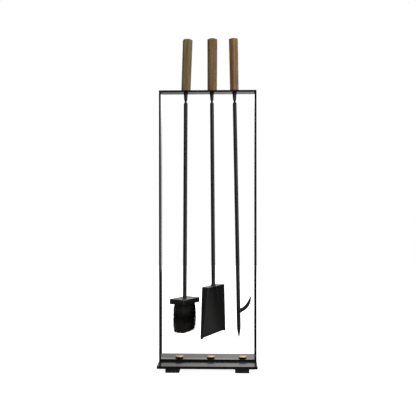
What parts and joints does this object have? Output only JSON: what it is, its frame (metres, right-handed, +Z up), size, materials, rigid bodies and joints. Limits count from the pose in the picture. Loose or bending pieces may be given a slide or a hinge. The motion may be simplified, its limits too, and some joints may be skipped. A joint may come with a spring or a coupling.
{
  "type": "fireplace tool set",
  "caption": "Brush, shovel and poker with hexagonal wooden handles, hung from keyholes in a flat-bar loop on a low base plate with brass screws.",
  "frame": {"origin": "on the floor under the centre of the base plate", "axes": "+Z up, +X to the right along the loop, +Y to the rear; the front of the set faces -Y"},
  "size_m": [0.236, 0.14, 0.7994],
  "materials": {
    "black_powder_coat": "satin black powder coat",
    "black_rubber": "matte moulded rubber",
    "brass": "satin turned brass",
    "zinc_steel": "zinc-plated",
    "olive_wood": "oiled walnut, olive brown",
    "warm_wood": "oiled walnut, red brown",
    "black_painted_wood": "satin black paint",
    "black_fibre": "coarse black fibre"
  },
  "bodies": {
    "stand": {"base_plate": "black_powder_coat", "bottom_bar": "black_powder_coat", "left_post": "black_powder_coat", "right_post": "black_powder_coat", "top_bar": "black_powder_coat", "foot_front_left": "black_rubber", "foot_front_right": "black_rubber", "foot_rear_left": "black_rubber", "foot_rear_right": "black_rubber", "foot_screw_front_left": "zinc_steel", "foot_screw_front_right": "zinc_steel", "foot_screw_rear_left": "zinc_steel", "foot_screw_rear_right": "zinc_steel", "brass_screw_left": "brass", "brass_screw_middle": "brass", "brass_screw_right": "brass"},
    "brush_seat": {"brush_seat_cone": "black_powder_coat"},
    "brush": {"brush_handle": "olive_wood", "brush_rod": "black_powder_coat", "brush_block": "black_painted_wood", "brush_nut": "zinc_steel", "brush_bristles": "black_fibre"},
    "shovel_seat": {"shovel_seat_cone": "black_powder_coat"},
    "shovel": {"shovel_handle": "olive_wood", "shovel_rod": "black_powder_coat", "shovel_pan": "black_powder_coat"},
    "poker_seat": {"poker_seat_cone": "black_powder_coat"},
    "poker": {"poker_handle": "warm_wood", "poker_rod": "black_powder_coat", "poker_hook": "black_powder_coat"}
  },
  "joints": [
    {"name": "brush_lift", "type": "slide", "parent": "stand", "child": "brush_seat", "axis": [0.0056, 0, 1], "range_m": [0, 0.0235]},
    {"name": "brush_turn", "type": "hinge", "parent": "brush_seat", "child": "brush", "pos_m": [-0.0537, 0, 0.67185], "axis": [0.0056, 0, 1], "continuous": true},
    {"name": "shovel_lift", "type": "slide", "parent": "stand", "child": "shovel_seat", "axis": [-0.0075, 0, 1], "range_m": [0, 0.0235]},
    {"name": "shovel_turn", "type": "hinge", "parent": "shovel_seat", "child": "shovel", "pos_m": [0.0099, 0, 0.67185], "axis": [-0.0075, 0, 1], "range_deg": [-15, 60]},
    {"name": "poker_lift", "type": "slide", "parent": "stand", "child": "poker_seat", "axis": [-0.018, 0, 0.9998], "range_m": [0, 0.0235]},
    {"name": "poker_turn", "type": "hinge", "parent": "poker_seat", "child": "poker", "pos_m": [0.065, 0, 0.67185], "axis": [-0.018, 0, 0.9998], "continuous": true}
  ]
}
